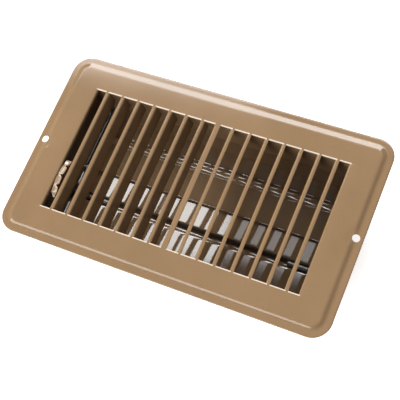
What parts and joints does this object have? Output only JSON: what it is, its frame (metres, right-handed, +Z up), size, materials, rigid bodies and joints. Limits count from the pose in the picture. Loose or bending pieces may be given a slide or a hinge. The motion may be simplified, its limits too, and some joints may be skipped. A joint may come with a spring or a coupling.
{
  "type": "floor register",
  "caption": "Stamped steel floor register with two-way louvre fins and linked damper blades worked by a thumb wheel.",
  "frame": {"origin": "centre of the face, in the plane of the flange's underside, which is the floor's surface when installed", "axes": "+X along the long side, away from the thumb wheel; +Y across the face, from the thumb wheel's blade towards the other blade; +Z up, out of the duct"},
  "size_m": [0.2444, 0.143, 0.0447],
  "materials": {
    "face_paint": "satin tan-brown enamel",
    "box_paint": "satin tan-brown enamel",
    "blade_paint": "gloss tan-brown enamel",
    "wheel_paint": "worn tan enamel over zinc",
    "zinc": "zinc plated",
    "spring_steel": "bare spring steel"
  },
  "bodies": {
    "housing": {"face_plate": "face_paint", "wall_far": "box_paint", "wall_near": "box_paint", "end_plate_left": "box_paint", "end_plate_right": "box_paint", "pivot_plate": "box_paint", "stop_rail_far": "box_paint", "stop_rail_near": "box_paint", "corner_rivets": "zinc"},
    "near_damper": {"near_blade": "blade_paint", "near_pivot_pins": "zinc", "near_crank": "zinc", "near_link_pin": "zinc", "near_retainer": "spring_steel", "thumb_wheel": "wheel_paint", "wheel_hub": "zinc", "spring_washer": "spring_steel"},
    "far_damper": {"far_blade": "blade_paint", "far_pivot_pins": "zinc", "far_crank": "zinc", "far_link_pin": "zinc", "far_retainer": "spring_steel"},
    "link": {"link_bar": "zinc"}
  },
  "joints": [
    {"name": "near_blade_turn", "type": "hinge", "parent": "housing", "child": "near_damper", "pos_m": [0, -0.0234, -0.025], "axis": [-1, 0, 0], "range_deg": [0, 32]},
    {"name": "far_blade_turn", "type": "hinge", "parent": "housing", "child": "far_damper", "pos_m": [0, 0.0234, -0.025], "axis": [-1, 0, 0], "range_deg": [0, 32]},
    {"name": "link_swing", "type": "hinge", "parent": "near_damper", "child": "link", "pos_m": [-0.0879, -0.0053, -0.019], "axis": [-1, 0, 0], "range_deg": [-32, 0]}
  ],
  "couplings": [
    {"joint": "far_blade_turn", "follows": "near_blade_turn", "ratio": 1},
    {"joint": "link_swing", "follows": "near_blade_turn", "ratio": -1}
  ]
}
